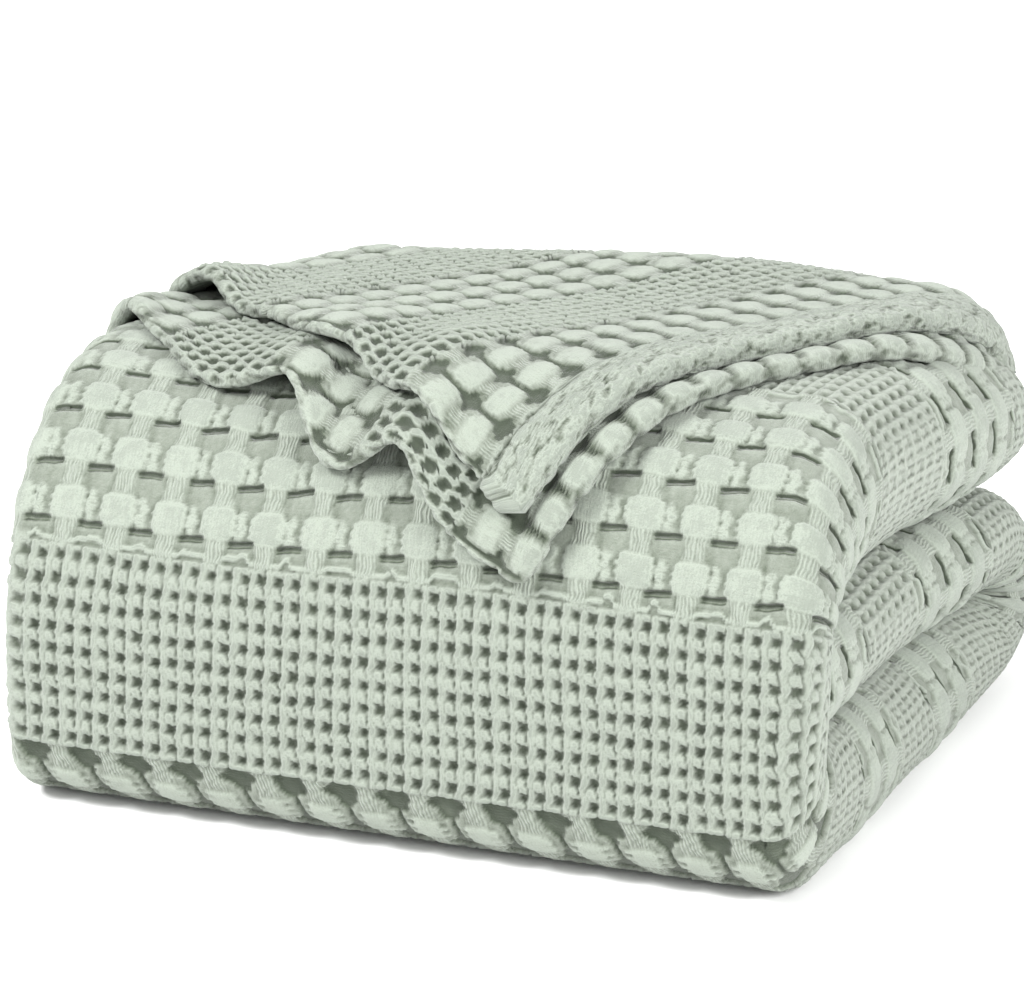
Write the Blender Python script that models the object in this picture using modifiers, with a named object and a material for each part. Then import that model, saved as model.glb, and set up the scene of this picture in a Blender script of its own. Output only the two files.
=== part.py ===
"""Waffle weave cotton blanket, folded for the shelf: one sheet of cloth.

The sheet is halved three times across its length, which stacks eight layers
with their folds at the right. The stack is then turned round in three passes
(middle, bottom, top), and the two inner layers reach past the top pass, round
its back and forward over the top as a loose flap with a rippled edge.
Right is +X, the front is -Y, up is +Z, and the sizes are in metres.
"""

import math

import bpy
import numpy as np

MM = 0.001

# Folded size
WIDTH = 312 * MM
CLOTH_THICKNESS = 4.0 * MM
THICKNESS_TO_PITCH = 0.57
LEAST_THICKNESS = 1.5 * MM
LAYERS = 8
LEVELS = LAYERS - 1

THICKNESS_TO_SWELL = 0.80
THICKNESS_TO_STEP = 0.90
LEFT_SETBACK = 6 * MM

# How the stack has settled
BACK_DROP = 0.12
LEFT_DROP = 0.08
LEFT_DROP_START = 0.30
LEFT_LEAN = 18 * MM
FRONT_CROWN = 2.6 * MM
SIDE_UNEVENNESS = 2.5 * MM
TOP_UNEVENNESS = 1.8 * MM

# The flap over the top
FLAP_THICKNESS = 3.2 * MM
FLAP_PITCH = 5.6 * MM
CORNER_X = 53 * MM
CORNER_HEIGHT = 141 * MM
HEM_RISE_ANGLE = 65
RIPPLED_EDGE_SLOPE = 0.55
LOWER_EDGE_SLOPE = 0.42
RIPPLED_EDGE_CURVE = 1.0
LOWER_LAYER_REACH = 19 * MM
RIPPLE_DEPTH = 48 * MM
FLAP_LEFT_EDGE = -146 * MM
FLAP_RIGHT_EDGE = 149 * MM
LOWER_LAYER_SIDE_REACH = 10 * MM
LOWER_CORNER_SHIFT = 3 * MM

# The layers from the inside of the stack to the outside, by their order in the sheet
STACK_ORDER = (1, 8, 5, 4, 3, 6, 7, 2)

# Flat parts of the sheet, in sheet order: cells across each layer
LAYER_CELLS = {1: 22, 2: 3, 3: 3, 4: 3, 5: 3, 6: 3, 7: 3, 8: 22}

# The flap's two layers: where their corner falls across them, and the cells left of it
CORNER_PLACE = 0.36
CELLS_LEFT_OF_CORNER = 17

# Folds between one layer and the next: side (+1 right, -1 left) and cells round it
FOLDS = {
    (1, 2): (1, 7),
    (2, 3): (-1, 5),
    (3, 4): (1, 3),
    (4, 5): (-1, 3),
    (5, 6): (1, 4),
    (6, 7): (-1, 3),
    (7, 8): (1, 5),
}

# Path of the stack, in mm: the innermost and outermost layer at each section, how far
# the right side reaches past the plain width, and how far its folds swell
PATH_COLUMNS = ("inner_y", "inner_z", "outer_y", "outer_z", "reach", "swell")
PATH = (
    (33, 59.0, 32, 94.0, -4, 15),  # free end of the middle pass
    (110, 58.0, 110, 97.5, 2, 18),
    (196, 57.5, 198, 94.0, 5, 18),
    (204, 57.4, 235, 86.0, 5, 19),  # turn at the back
    (209, 56.2, 257, 67.0, 5, 20),
    (210.5, 53.3, 264, 46.0, 4, 20),
    (209, 50.4, 260, 24.0, 5, 20),
    (204, 49.2, 242, 8.0, 5, 21),
    (194, 49.0, 215, 2.2, 4, 21),  # bottom pass
    (110, 49.0, 112, 2.2, 2, 20),
    (52, 49.5, 40, 2.0, -1, 15),
    (40, 50.5, 20, 3.8, -2, 12),  # turn at the front, below
    (31, 54.0, 8, 12.0, -3, 11),
    (27.5, 61.0, 2.8, 28.0, -3, 11),
    (27, 76.0, 2.2, 62.0, -2, 11),  # front
    (27, 92.0, 3.0, 98.0, -1, 12),
    (30, 99.5, 9, 123.0, 0, 14),  # turn at the front, above
    (38, 103.0, 24, 146.0, 1, 18),
    (50, 104.0, 48, 161.0, 2, 22),
    (68, 104.5, 84, 168.0, 3, 26),
    (130, 104.0, 134, 168.5, 5, 28),  # top pass
    (200, 103.0, 203, 165.0, 9, 28),
    (223, 102.5, 223, 160.0, 9, 27),  # free end of the top pass
)

# Path of the flap's middle line, in mm, from the free end of the top pass
FLAP_COLUMNS = ("y", "z")
FLAP_PATH = (
    (223, 107.0),
    (241, 110.0),
    (254, 119.0),
    (260, 133.0),
    (259, 149.0),
    (251, 163.0),
    (236, 172.0),
    (216, 176.0),
    (160, 177.2),
    (112, 177.2),
    (82, 177.0),
    (60, 175.4),
    (39.5, 170.2),
    (14.2, 155.0),
    (-0.8, 129.0),
    (-6.0, 102.0),
    (-6.4, 86.0),
)

# Ripples in the flap's loose edge. "along" is the distance from the corner, "lift"
# how far the edge stands up and "pull" how far it draws back.
RIPPLE_COLUMNS = ("along", "width", "lift", "pull")
UPPER_RIPPLES = (
    (45 * MM, 16 * MM, 4 * MM, 3 * MM),
    (102 * MM, 20 * MM, 11 * MM, 13 * MM),
    (160 * MM, 20 * MM, 3 * MM, 6 * MM),
    (212 * MM, 24 * MM, 5 * MM, 0 * MM),
)
LOWER_RIPPLES = (
    (54 * MM, 18 * MM, 9 * MM, 18 * MM),
    (114 * MM, 18 * MM, 8 * MM, 15 * MM),
    (168 * MM, 18 * MM, 3 * MM, 3 * MM),
    (226 * MM, 26 * MM, 5 * MM, 0 * MM),
)

FLAP_ROWS_BACK = 6
FLAP_ROWS_TOP = 9
CLOTH_COLOUR = (0.60, 0.66, 0.57, 1.0)


def smooth_step(value):
    """0 below 0, 1 above 1, and an even S between them."""
    held = np.clip(value, 0.0, 1.0)
    return held * held * (3.0 - 2.0 * held)


def curve_through(points, places):
    """Smooth curve through the rows of points, at places counted in rows."""
    points = np.asarray(points, float)
    last = len(points) - 1
    index = np.clip(np.floor(places).astype(int), 0, last - 1)
    part = (places - index)[:, None]
    slopes = np.gradient(points, axis=0)
    start, end = points[index], points[index + 1]
    return (
        start * (2 * part**3 - 3 * part**2 + 1)
        + end * (3 * part**2 - 2 * part**3)
        + slopes[index] * (part**3 - 2 * part**2 + part)
        + slopes[index + 1] * (part**3 - part**2)
    )


def settle(points):
    """The stack's own weight: lower at the left and at the back, and a little uneven."""
    x, y, z = points[..., 0], points[..., 1], points[..., 2]
    across = x / WIDTH + 0.5
    back = smooth_step(y / 0.24)
    left = smooth_step((LEFT_DROP_START + 0.45 - across) / 0.75)
    height = z / 0.17
    sunk = 1 - BACK_DROP * back - LEFT_DROP * left * (1 + 0.9 * back)
    lean = LEFT_LEAN * left * smooth_step((height - 0.35) / 0.75) * (1 - 0.7 * back)
    crown = FRONT_CROWN * np.sin(math.pi * np.clip(across, 0, 1)) * (1 - smooth_step(y / 0.09))
    crown = crown * np.sin(math.pi * np.clip(height, 0, 1))
    side = SIDE_UNEVENNESS * np.sin(y * 31 + z * 17) * smooth_step((across - 0.6) / 0.4)
    top = TOP_UNEVENNESS * np.sin(x * 34 + 0.6) * np.sin(y * 27 + 0.4) * smooth_step(height * 2 - 0.6)
    moved = points.copy()
    moved[..., 0] = x + side * smooth_step(height * 4 - 0.2)
    moved[..., 1] = y + lean - crown
    moved[..., 2] = z * sunk + top
    return moved


def flap_places(cells):
    """Places across the flap's layers, with one at their corner and closer ones left of it."""
    left = np.linspace(-1, CORNER_PLACE, CELLS_LEFT_OF_CORNER + 1)
    right = np.linspace(CORNER_PLACE, 1, cells - CELLS_LEFT_OF_CORNER + 1)
    return np.concatenate([left, right[1:]])


def sheet_columns():
    """Column by column across the sheet: place across (-1 to 1), level and swell."""
    columns = []
    for layer in range(1, LAYERS + 1):
        level = STACK_ORDER.index(layer)
        heading = 1 if layer % 2 else -1
        cells = LAYER_CELLS[layer]
        places = heading * np.linspace(-1, 1, cells + 1)
        if layer in (1, LAYERS):
            places = flap_places(cells)[::heading]
        columns += [(place, level, 0.0, layer) for place in places]
        if layer == LAYERS:
            break
        side, turns = FOLDS[(layer, layer + 1)]
        following = STACK_ORDER.index(layer + 1)
        middle, half = (level + following) / 2, abs(following - level) / 2
        start = -90 if following > level else 90
        for step in range(1, turns):
            angle = math.radians(start * (1 - 2 * step / turns))
            columns.append((side, middle + half * math.sin(angle), side * half * math.cos(angle), 0))
    return columns


def flap_frame(places):
    """Point and outward direction of the flap's middle line at places in rows."""
    points = curve_through(FLAP_PATH, places) * MM
    ahead = curve_through(FLAP_PATH, np.clip(places + 0.02, 0, len(FLAP_PATH) - 1)) * MM
    behind = curve_through(FLAP_PATH, np.clip(places - 0.02, 0, len(FLAP_PATH) - 1)) * MM
    run = ahead - behind
    run /= np.linalg.norm(run, axis=1)[:, None]
    return points, np.stack([run[:, 1], -run[:, 0]], axis=1)


def flap_lengths():
    """Fine places along the flap's middle line, and the length up to each."""
    places = np.linspace(0, len(FLAP_PATH) - 1, 641)
    points, _ = flap_frame(places)
    steps = np.linalg.norm(np.diff(points, axis=0), axis=1)
    return places, np.concatenate([[0], np.cumsum(steps)])


def ripple(rows, along, column):
    """Sum of the ripples' lift or pull at distances along the loose edge."""
    index = RIPPLE_COLUMNS.index(column)
    total = np.zeros_like(along)
    for row in rows:
        total += row[index] * np.exp(-(((along - row[0]) / row[1]) ** 2))
    return total


def flap_outline(x, corner_x, corner_run, slope, rows):
    """How far the flap runs forward at each place across: its hem or its loose edge."""
    hem = corner_run - (x - corner_x) * math.tan(math.radians(HEM_RISE_ANGLE))
    left = corner_x - x
    along = left / math.cos(math.atan(slope))
    loose = corner_run - left * (slope + RIPPLED_EDGE_CURVE * left) - ripple(rows, along, "pull")
    return np.where(x > corner_x, hem, loose), along


def flap_layer(across, side, start):
    """Grid of points of one flap layer. side is 1 for the upper layer, -1 for the lower."""
    x = start[:, 0]
    places, lengths = flap_lengths()
    points, _ = flap_frame(places)
    front = places > len(FLAP_PATH) - 7
    corner_run = np.interp(-CORNER_HEIGHT, -points[front, 1], lengths[front])
    corner_x, rows, left_edge = CORNER_X, UPPER_RIPPLES, FLAP_LEFT_EDGE
    slope = RIPPLED_EDGE_SLOPE
    if side < 0:
        corner_run += LOWER_LAYER_REACH * 1.35
        corner_x += LOWER_CORNER_SHIFT
        rows = LOWER_RIPPLES
        slope = LOWER_EDGE_SLOPE
        left_edge -= LOWER_LAYER_SIDE_REACH
    full_x = np.interp(across, (-1, CORNER_PLACE, 1), (left_edge, corner_x, FLAP_RIGHT_EDGE))
    ends, along = flap_outline(full_x, corner_x, corner_run, slope, rows)
    turn = np.interp(6.5, places, lengths)
    back = turn * np.linspace(0, 1, FLAP_ROWS_BACK + 1)[1:]
    grid = []
    count = FLAP_ROWS_BACK + FLAP_ROWS_TOP
    for row in range(1, count + 1):
        if row <= FLAP_ROWS_BACK:
            share = back[row - 1] / turn
            run = np.minimum(turn * share, ends * row / count)
        else:
            share = (row - FLAP_ROWS_BACK) / FLAP_ROWS_TOP
            share = 1 - (1 - share) ** 1.35
            low = np.minimum(turn, ends * FLAP_ROWS_BACK / count)
            run = low + (ends - low) * share
        middle, outward = flap_frame(np.interp(run, lengths, places))
        inland = np.maximum(ends - run, 0)
        lift = ripple(rows, along, "lift") * np.exp(-((inland / RIPPLE_DEPTH) ** 2))
        if side > 0:
            under = ripple(LOWER_RIPPLES, along, "lift")
            lift = lift + under * np.exp(-(((inland + LOWER_LAYER_REACH) / RIPPLE_DEPTH) ** 2))
        offset = side * FLAP_PITCH / 2 + lift
        blend = smooth_step(run / 0.02)[:, None]
        here = middle + outward * offset[:, None]
        here = start[:, 1:] * (1 - blend) + here * blend
        widened = x + (full_x - x) * smooth_step((run - 0.012) / 0.06)
        grid.append(np.column_stack([widened, here]))
    return np.array(grid)


def build_sheet():
    """The whole sheet: points, faces, and the thickness share at each point."""
    columns = sheet_columns()
    places = np.arange(len(PATH), dtype=float)
    path = curve_through(PATH, places) * MM
    inner, outer, reach, swells = path[:, :2], path[:, 2:4], path[:, 4], path[:, 5]
    levels = np.linspace(0, 1, LAYERS)[:, None, None]
    layer_paths = inner + (outer - inner) * levels
    runs = np.gradient(layer_paths, axis=1)
    runs /= np.linalg.norm(runs, axis=2)[..., None]
    spread = outer - inner
    deep = np.abs(runs[..., 0] * spread[:, 1] - runs[..., 1] * spread[:, 0])
    steps = np.linalg.norm(np.diff(layer_paths, axis=1), axis=2)
    steps = np.minimum(np.column_stack([steps[:, :1], steps]), np.column_stack([steps, steps[:, -1:]]))
    points, shares, faces = [], [], []
    for row in range(len(path)):
        swell = swells[row] * 2 / LEVELS
        half = WIDTH / 2 - CLOTH_THICKNESS / 2
        right = half + reach[row] - swell * LEVELS / 2
        left = half - swell * 1.5 - LEFT_SETBACK
        for place, level, bulge, _ in columns:
            share = level / LEVELS
            x = place * (right if place > 0 else left) + bulge * swell
            y, z = inner[row] + (outer[row] - inner[row]) * share
            points.append((x, y, z))
            pitch = np.interp(level, range(LAYERS), deep[:, row]) / LEVELS
            step = np.interp(level, range(LAYERS), steps[:, row])
            thick = min(pitch * THICKNESS_TO_PITCH, swell * THICKNESS_TO_SWELL, step * THICKNESS_TO_STEP)
            thick = np.clip(thick, LEAST_THICKNESS, CLOTH_THICKNESS)
            shares.append(thick / CLOTH_THICKNESS)
    across = len(columns)
    for row in range(len(path) - 1):
        for column in range(across - 1):
            corner = row * across + column
            faces.append((corner, corner + 1, corner + across + 1, corner + across))
    points = np.array(points)
    last = (len(path) - 1) * across
    layers = np.array([column[3] for column in columns])
    for layer, side in ((1, 1), (8, -1)):
        used = np.flatnonzero(layers == layer)
        start = points[last + used]
        grid = flap_layer(np.array([columns[index][0] for index in used]), side, start)
        before = last + used
        for line in grid:
            here = len(points) + np.arange(len(used))
            points = np.vstack([points, line])
            shares += [FLAP_THICKNESS / CLOTH_THICKNESS] * len(used)
            for cell in range(len(used) - 1):
                faces.append((before[cell], before[cell + 1], here[cell + 1], here[cell]))
            before = here
    return settle(points), faces, np.array(shares)


def clear_scene():
    """Start from an empty scene."""
    for thing in list(bpy.data.objects):
        bpy.data.objects.remove(thing, do_unlink=True)


def cloth_material():
    """Matt cotton in pale sage."""
    material = bpy.data.materials.new("blanket_cotton")
    material.use_nodes = True
    shader = material.node_tree.nodes["Principled BSDF"]
    shader.inputs["Base Color"].default_value = CLOTH_COLOUR
    shader.inputs["Roughness"].default_value = 0.9
    return material


def main():
    """Build the blanket as one solid standing on the ground, centred over its box."""
    clear_scene()
    collection = bpy.data.collections.new("folded_blanket")
    bpy.context.scene.collection.children.link(collection)
    points, faces, shares = build_sheet()
    mesh = bpy.data.meshes.new("blanket")
    mesh.from_pydata(points.tolist(), [], [tuple(int(v) for v in face) for face in faces])
    blanket = bpy.data.objects.new("blanket", mesh)
    collection.objects.link(blanket)
    group = blanket.vertex_groups.new(name="thickness")
    for index, share in enumerate(shares):
        group.add([index], float(share), "REPLACE")
    solid = blanket.modifiers.new("cloth", "SOLIDIFY")
    solid.thickness = CLOTH_THICKNESS
    solid.offset = 0
    solid.use_even_offset = False
    solid.vertex_group = "thickness"
    solid.thickness_vertex_group = 0.0
    bpy.context.view_layer.update()
    shaped = blanket.evaluated_get(bpy.context.evaluated_depsgraph_get())
    final = bpy.data.meshes.new_from_object(shaped)
    blanket.modifiers.clear()
    blanket.data = final
    place = np.empty(len(final.vertices) * 3)
    final.vertices.foreach_get("co", place)
    place = place.reshape(-1, 3)
    low, high = place.min(axis=0), place.max(axis=0)
    place -= ((low[0] + high[0]) / 2, (low[1] + high[1]) / 2, low[2])
    final.vertices.foreach_set("co", place.ravel())
    final.polygons.foreach_set("use_smooth", [True] * len(final.polygons))
    final.materials.clear()
    final.materials.append(cloth_material())
    final.update()


main()
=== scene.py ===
from math import atan, atan2, cos, hypot, pi, radians, sin, tan

import bpy
import numpy as np
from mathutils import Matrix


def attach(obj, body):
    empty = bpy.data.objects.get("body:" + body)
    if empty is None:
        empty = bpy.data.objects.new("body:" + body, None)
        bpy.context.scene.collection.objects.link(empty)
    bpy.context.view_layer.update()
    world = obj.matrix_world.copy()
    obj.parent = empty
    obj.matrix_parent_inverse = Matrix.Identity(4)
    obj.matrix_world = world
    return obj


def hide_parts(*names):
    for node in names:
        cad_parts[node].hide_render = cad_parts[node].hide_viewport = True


# Waffle weave cotton blanket, folded. The weave lies over a folded sheet as relief skins.
# Lengths are in mm, and points are handed to Blender in metres.

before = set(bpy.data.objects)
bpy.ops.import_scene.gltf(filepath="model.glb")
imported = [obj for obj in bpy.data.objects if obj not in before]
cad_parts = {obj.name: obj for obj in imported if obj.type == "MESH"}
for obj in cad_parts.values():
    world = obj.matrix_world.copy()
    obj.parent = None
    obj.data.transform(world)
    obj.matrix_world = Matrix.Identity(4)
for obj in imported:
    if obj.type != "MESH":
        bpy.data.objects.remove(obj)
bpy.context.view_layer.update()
metre = 0.001
join = np.concatenate

stack = {
    "width": 312,
    "layers": 8,
    "order": (1, 8, 5, 4, 3, 6, 7, 2),  # the sheet's layers from the inside out
    "leftSetback": 6,
    "halfCloth": 2,
    "boxCentre": (5.15, 132.02, -0.3),  # centre and foot, before centring
}

# innerY, innerZ, outerY, outerZ, reach past the plain width, swell of the folds
stackPath = (
    (27, 59, 26.5, 94, -4, 15),  # free end of the middle pass
    (110, 58, 110, 97.5, 2, 18),
    (196, 57.5, 198, 94, 5, 18),
    (204, 57.4, 235, 86, 5, 19),  # turn at the back
    (209, 56.2, 257, 67, 5, 20),
    (210.5, 53.3, 264, 46, 4, 20),
    (209, 50.4, 260, 24, 5, 20),
    (204, 49.2, 242, 8, 5, 21),
    (194, 49, 215, 2.2, 4, 21),  # bottom pass
    (110, 49, 112, 2.2, 2, 20),
    (52, 49.5, 40, 2, -1, 15),
    (40, 50.5, 20, 3.8, -2, 12),  # turn at the front, below
    (31, 54, 8, 12, -3, 11),
    (27.5, 61, 2.8, 28, -3, 11),
    (27, 76, 2.2, 62, -2, 11),  # front
    (27, 92, 3, 98, -1, 12),
    (30, 99.5, 9, 123, 0, 14),  # turn at the front, above
    (38, 103, 24, 146, 1, 18),
    (50, 104, 48, 161, 2, 22),
    (68, 104.5, 84, 168, 3, 26),
    (130, 104, 134, 166.5, 5, 28),  # top pass
    (200, 103, 203, 161, 9, 28),
    (223, 102.5, 223, 156, 9, 27),  # free end of the top pass
)
lastRow = len(stackPath) - 1

# How the stack has settled under its own weight; waves are in radians to a mm
settling = {
    "size": (240, 170),  # depth and height over which it settles
    "rest": (2, 0.43),  # where the floor presses it, and the share that is kept
    "backDrop": 0.12,  # shares of the height lost at the back and at the left
    "leftDrop": (0.065, 0.35, 0.75),  # more at the back, and the share of the width
    "lean": (18, 0.35, 0.75, 0.7),  # of the left, from a height, over what, less at the back
    "crown": (2.6, 90),  # belly of the front, and its depth
    "side": (2.5, 0.6, 0.031, 0.017),  # unevenness, where it starts, waves
    "top": (1.8, 0.034, 0.027, 0.6, 0.4),  # the same, waves, and their phases
}

# The loose flap: the two inner layers, round the back and forward over the top
flap = {
    "pitch": 5.6,  # between the two layers' middles
    "cornerX": 47,  # the corner's place, before settling
    "cornerHeight": 141,
    "hemRise": 65,  # degrees from +X
    "cornerPlace": 0.36,  # the corner's place across, from -1 to 1
    "rightEdge": 165,
    "bend": {"right": (126, 27), 1: (-112, 55), -1: (-126, 32)},  # where an end bends, and radius
    "backDraw": (34, 150, 60, 150),  # how far the left is drawn in, over what, until which run
    "rightClose": (7.5, 38, 90, 50),  # the same for the right end's closing
    "leftEdge": {1: -142, -1: -157},  # by side: 1 the upper layer, -1 the lower
    "slope": {1: 0.55, -1: 0.42},  # of the loose edge against X
    "curve": 0.001,  # and its curve, to a mm
    "lowerReach": 19,  # how far the lower layer shows past the upper
    "lowerCornerShift": 3,
    "rippleDepth": 48,  # how far the ripples reach inland
    "joinRuns": (20, 40),  # over which it leaves the top pass, and widens
    "weaveScale": 0.86,
}

# y, z of the flap's middle line
flapPath = (
    *((223, 107), (241, 110), (254, 119), (260, 133), (259, 149), (251, 163), (236, 172), (216, 176)),
    *((160, 177.2), (112, 177.2), (82, 177), (60, 175.4), (39.5, 170.2), (14.2, 155), (-0.8, 129)),
    *((-6, 102), (-6.4, 86)),
)

# along the loose edge from the corner, width, lift, pull
ripples = {
    1: ((45, 16, 5, 4), (92, 17, 6, 7), (148, 18, 4, 5), (190, 15, 10, 6)),
    -1: ((54, 18, 9, 18), (88, 14, -2, -6), (114, 18, 8, 15), (158, 18, -2, -8), (209, 13, 8, 5)),
}

weave = {
    "block": 20,  # a block cell, across and along
    "cell": {"block": 20, "fine": 8.8, "small": 7.4},  # a cell's length along the cloth
    "perBlock": {"block": 3, "fine": 3, "small": 4},  # fine cells across a block
    "bandStart": 107,  # height of the upper block band's foot
    "wander": 0.9,  # how far the columns stray
    "endZone": 0.42,  # share of a block row that closes a block band
    "pillow": 2.3,  # heights over the ground
    "bundle": 1.35,
    "knuckle": 1.7,
    "fine": 1.75,
    "fuzz": 0.09,
    "hollowShade": 0.42,  # darkening for each mm under the neighbours
    "hollowReach": 1.8,  # and how far off those are
    "pulledRow": (-110, -79),  # the row pulled open along the foot of the front
    "pulled": (0.2, 0.014, 0.2),  # its shade in mm of relief, lean in blocks to a mm, flattening
    "closed": (150, 14),  # where the cloth is drawn closed across, and over what
    "lift": 1.9,  # the ground's height over the cloth's middle
    "floor": -1.2,  # the lowest height
}

# Bands and their rows up from the upper block band's foot, and down from it. The flap's go
# inwards from its hem.
bandsUp = "block 5 small 7 block 3 small 7 block 2 small 10 block 3"
bandsDown = (
    "fine 9 block 1 small 5 block 2 small 5 block 2 small 9 block 3 small 9 block 3 "
    "small 7 block 3 small 7 block 2 small 9 block 4"
)
bandsFlap = "block 2 fine 6 " + "block 3 fine 7 " * 5 + "block 6"


# An even S from 0 to 1: the value held to 0-1, squared, times three less twice the value
def ease(value):
    held = np.clip(value, 0.0, 1.0)
    return held * held * (3.0 - 2.0 * held)


# Smooth curve through points at places counted in them: each span is the cubic that meets
# its ends with the slopes between their neighbours
def curveThrough(points, places):
    points = np.asarray(points, float)
    last = len(points) - 1
    index = np.clip(np.floor(places).astype(int), 0, last - 1)
    part = (places - index)[..., None]
    slopes = np.gradient(points, axis=0)
    start, end = points[index], points[index + 1]
    return (
        start * (2 * part**3 - 3 * part**2 + 1)
        + end * (3 * part**2 - 2 * part**3)
        + slopes[index] * (part**3 - 2 * part**2 + part)
        + slopes[index + 1] * (part**3 - part**2)
    )


# Where points settle: z shrinks towards the back and the left, the left leans back near the
# top, the front bellies, slow sines bend the side and the top, and the box is centred.
def settle(points):
    x, y, z = np.moveaxis(points, -1, 0)
    depth, tall = settling["size"]
    across, back, height = x / stack["width"] + 0.5, ease(y / depth), z / tall
    leftDrop, moreAtBack, leftRun = settling["leftDrop"]
    left = ease((leftRun - across) / leftRun)
    sunk = 1 - settling["backDrop"] * back - leftDrop * left * (1 + moreAtBack * back)
    lean, leanFrom, leanOver, backLoss = settling["lean"]
    lean = lean * left * ease((height - leanFrom) / leanOver) * (1 - backLoss * back)
    crown, crownDepth = settling["crown"]
    crown = crown * np.sin(pi * np.clip(across, 0, 1)) * (1 - ease(y / crownDepth))
    crown = crown * np.sin(pi * np.clip(height, 0, 1))
    side, sideFrom, deepWave, tallWave = settling["side"]
    side = side * np.sin(y * deepWave + z * tallWave) * ease((across - sideFrom) / (1 - sideFrom))
    top, wideWave, deepWave, widePhase, deepPhase = settling["top"]
    waves = np.sin(x * wideWave + widePhase) * np.sin(y * deepWave + deepPhase)
    top = top * (waves * ease(height * 2 - 0.6))
    x = x + side * ease(height * 4 - 0.2)
    return np.stack([x, y + lean - crown, z * sunk + top], axis=-1) - np.array(stack["boxCentre"])


# Points of the stack at every row and column (place across, level, bulge): x is place times
# the half width less the swell, plus bulge times the swell of a level, and y and z slide
# from the inner path to the outer by level.
def stackPoints(rows, columns):
    path = curveThrough(stackPath, np.asarray(rows, float))[:, None, :]
    place, level, bulge = np.asarray(columns, float).T
    levels = stack["layers"] - 1
    swell = path[..., 5] * 2 / levels
    half = stack["width"] / 2 - stack["halfCloth"]
    right = half + path[..., 4] - swell * levels / 2
    left = half - swell * 1.5 - stack["leftSetback"]
    x = place * np.where(place > 0, right, left) + bulge * swell
    y = path[..., 0] + (path[..., 2] - path[..., 0]) * level / levels
    z = path[..., 1] + (path[..., 3] - path[..., 1]) * level / levels
    return np.stack([x, y, z], axis=-1)


# Directions of length 1
def unit(lines):
    return lines / np.linalg.norm(lines, axis=-1, keepdims=True)


# Lengths up to each point of a line
def lengthsAlong(line):
    steps = np.linalg.norm(np.diff(line, axis=0), axis=-1)
    return join([np.zeros_like(steps[:1]), np.cumsum(steps, axis=0)])


# By side: the straight from the middle, the fold's arc, and half the levels it spans
skinArc = {"left": (134, 30, 1.5), "right": (136, 78, 3.5)}


# Columns of the outer skin at distances across it, from 0 in the middle: along the straight
# the place goes by the distance, and round a fold the level and the bulge go by the sine
# and the cosine of its angle
def skinColumns(distances):
    left = distances < 0
    straight, arc, half = (np.where(left, *sides) for sides in zip(skinArc["left"], skinArc["right"]))
    angle = pi * (0.5 - np.clip((np.abs(distances) - straight) / arc, 0, 1))
    place = np.clip(distances / straight, -1, 1)
    bulge = np.where(left, -half, half) * np.cos(angle)
    return np.stack([place, stack["layers"] - 1 - half + half * np.sin(angle), bulge], axis=-1)


# The stack's outermost layer: rows of its path, and lengths from the band start to them
def measureOuter():
    rows = np.linspace(0, lastRow, 1200)
    points = stackPoints(rows, [(0.2, stack["layers"] - 1, 0)])[:, 0]
    lengths = lengthsAlong(points)
    front = (rows > 13) & (rows < 17)
    zero = np.interp(weave["bandStart"], points[front, 2], lengths[front])
    return rows, lengths - zero


outerRows, outerLengths = measureOuter()


# Row of the path at a length from the band start
def rowAt(length):
    return np.interp(length, outerLengths, outerRows)


# And the length at a row
def lengthAt(row):
    return np.interp(row, outerRows, outerLengths)


# Chart of bands in order along the cloth: where each starts, its first row's number, its
# cell's length, its kind, 1 for blocks, and its fine cells across a block. A block band
# has one more row of floats.
def bandChart(up, down=""):
    up, down = up.split(), down.split()
    names, rows = down[::2][::-1] + up[::2], down[1::2][::-1] + up[1::2]
    cells, perBlock = (np.array([weave[part][name] for name in names]) for part in ("cell", "perBlock"))
    kinds = np.array([float(name == "block") for name in names])
    rows = np.array(rows, float) + kinds * weave["endZone"]
    starts = join([[0], np.cumsum(cells * rows)])
    counts = join([[0], np.cumsum(np.ceil(rows))])
    return starts - starts[len(down) // 2], counts, cells, kinds, perBlock


# Row number, kind, and distance to the nearer end of the band, at lengths along the cloth
def bandPlace(length, chart):
    starts, counts, cells, kinds, perBlock = chart
    index = np.clip(np.searchsorted(starts, length, side="right") - 1, 0, len(kinds) - 1)
    since, left = length - starts[index], starts[index + 1] - length
    count = counts[index] + since / cells[index]
    return count, kinds[index], np.minimum(np.abs(since), np.abs(left)), perBlock[index]


# A bell: e to the minus square of the distance from its middle over its width
def bell(value, middle, width):
    return np.exp(-(((value - middle) / width) ** 2))


# Signed distance from the middle of a repeat of 1
def away(value, middle):
    return (value - middle + 0.5) % 1.0 - 0.5


# A number from 0 to 1 for each cell: the fraction of a large sine of the cell's place
def cellChance(first, second, seed):
    mixed = np.sin(np.floor(first) * 12.9898 + np.floor(second) * 78.233 + seed * 37.719) * 43758.5453
    return mixed - np.floor(mixed)


# A rounded bump: 1 in the middle, 0 where the sum of its two reaches passes 1
def bump(first, second, sharpness, power):
    return np.clip(1 - np.abs(first) ** sharpness - np.abs(second) ** sharpness, 0, 1) ** power


# A fine cell, in shares of the cell, as fineRelief names them
fineCell = {
    "column": (0.31, 0.06, 0.17),  # half width of a yarn column, its pinch and its rise and fall
    "knob": (0.38, 0.36),
    "grooves": ((0.27, 0.06, 1), (-0.31, 0.05, 0.35)),  # place, width and strength
    "depths": (0.34, 0.34, 0.82),  # the ground's level, the grooves' and the pit's depth
    "pit": (0.235, 0.10, 2.3),  # half width, growth on the reverse, squareness
    "closed": (0.55, 0.72, 0.6),  # taken from the pit and the height, and the level
    "shadow": 0.4,
}


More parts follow.
